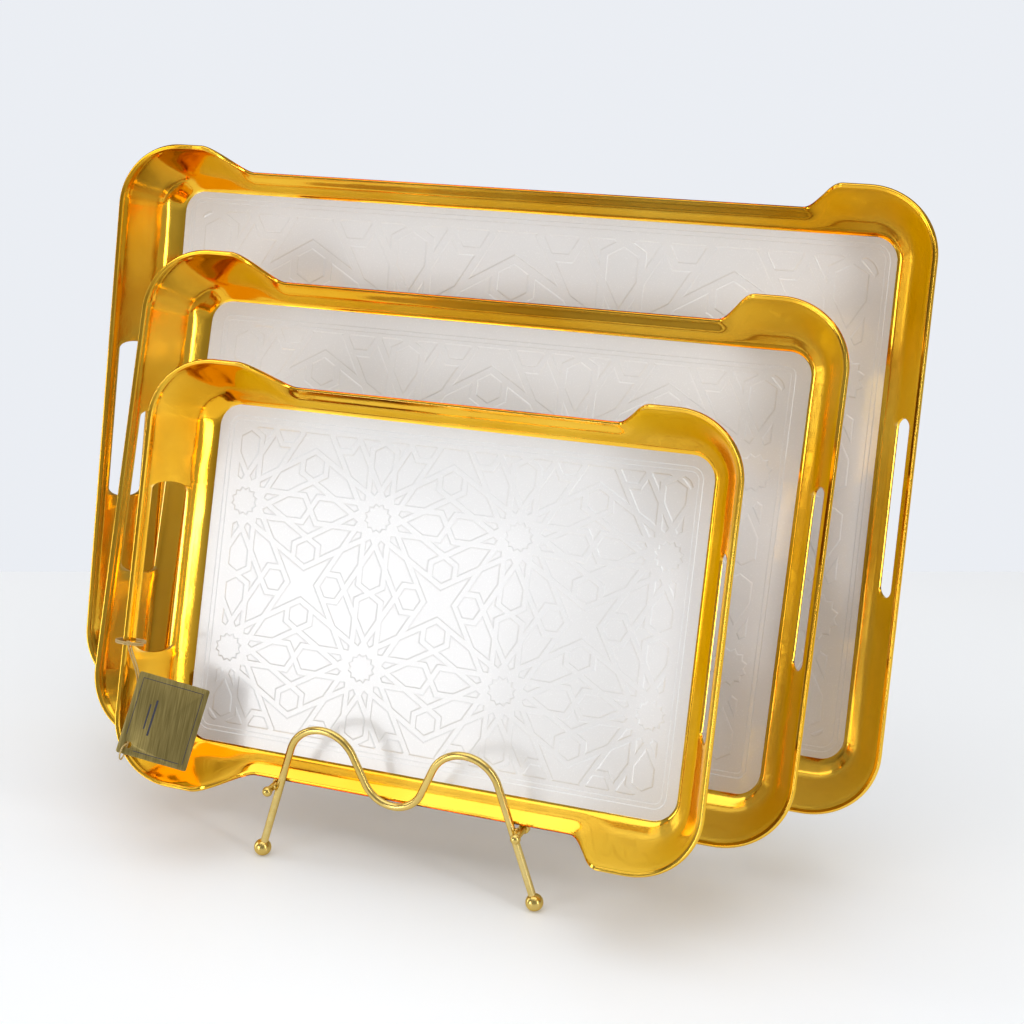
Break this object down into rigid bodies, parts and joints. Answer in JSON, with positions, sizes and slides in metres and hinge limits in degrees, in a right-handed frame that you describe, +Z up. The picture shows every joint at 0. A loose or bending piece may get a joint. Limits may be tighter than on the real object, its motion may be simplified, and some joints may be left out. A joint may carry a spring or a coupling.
{
  "type": "serving tray set on a stand",
  "caption": "Rectangular serving trays with flared gold rims, cut-out handles and embossed white panels, leaning one behind another on a gold wire stand, with a swing tag.",
  "frame": {"origin": "on the floor under the middle of the object's box", "axes": "+X runs along the trays' long side, -Y is the side that the trays face, +Z is up"},
  "size_m": [0.493, 0.2291, 0.3645],
  "materials": {
    "gold_rim": "mirror gold plating over a moulded rim",
    "pearl_panel": "glossy white, embossed",
    "gold_wire": "satin gold plated wire",
    "gold_string": "twisted metallic thread",
    "gold_card": "brushed gold foil card"
  },
  "bodies": {
    "stand": {"front_wire": "gold_wire", "rear_wire": "gold_wire", "left_rod": "gold_wire", "right_rod": "gold_wire", "small_back_rest": "gold_wire", "medium_back_rest": "gold_wire", "large_back_rest": "gold_wire", "front_left_foot": "gold_wire", "front_right_foot": "gold_wire", "rear_left_foot": "gold_wire", "rear_right_foot": "gold_wire"},
    "small_tray": {"small_rim": "gold_rim", "small_panel": "pearl_panel", "tag_loop": "gold_string", "tag_knot": "gold_string"},
    "medium_tray": {"medium_rim": "gold_rim", "medium_panel": "pearl_panel"},
    "large_tray": {"large_rim": "gold_rim", "large_panel": "pearl_panel"},
    "tag": {"tag_string": "gold_string", "tag_card": "gold_card"}
  },
  "joints": [
    {"name": "small_tray_lift", "type": "slide", "parent": "stand", "child": "small_tray", "axis": [0, 0.309, 0.9511], "range_m": [0, 0.12]},
    {"name": "medium_tray_lift", "type": "slide", "parent": "stand", "child": "medium_tray", "axis": [0, 0.2588, 0.9659], "range_m": [0, 0.05]},
    {"name": "large_tray_lift", "type": "slide", "parent": "stand", "child": "large_tray", "axis": [0, 0.2588, 0.9659], "range_m": [0, 0.12]},
    {"name": "tag_swing", "type": "hinge", "parent": "small_tray", "child": "tag", "pos_m": [-0.1497, -0.09395, 0.11911], "axis": [-1, 0, 0], "range_deg": [0, 80]}
  ]
}
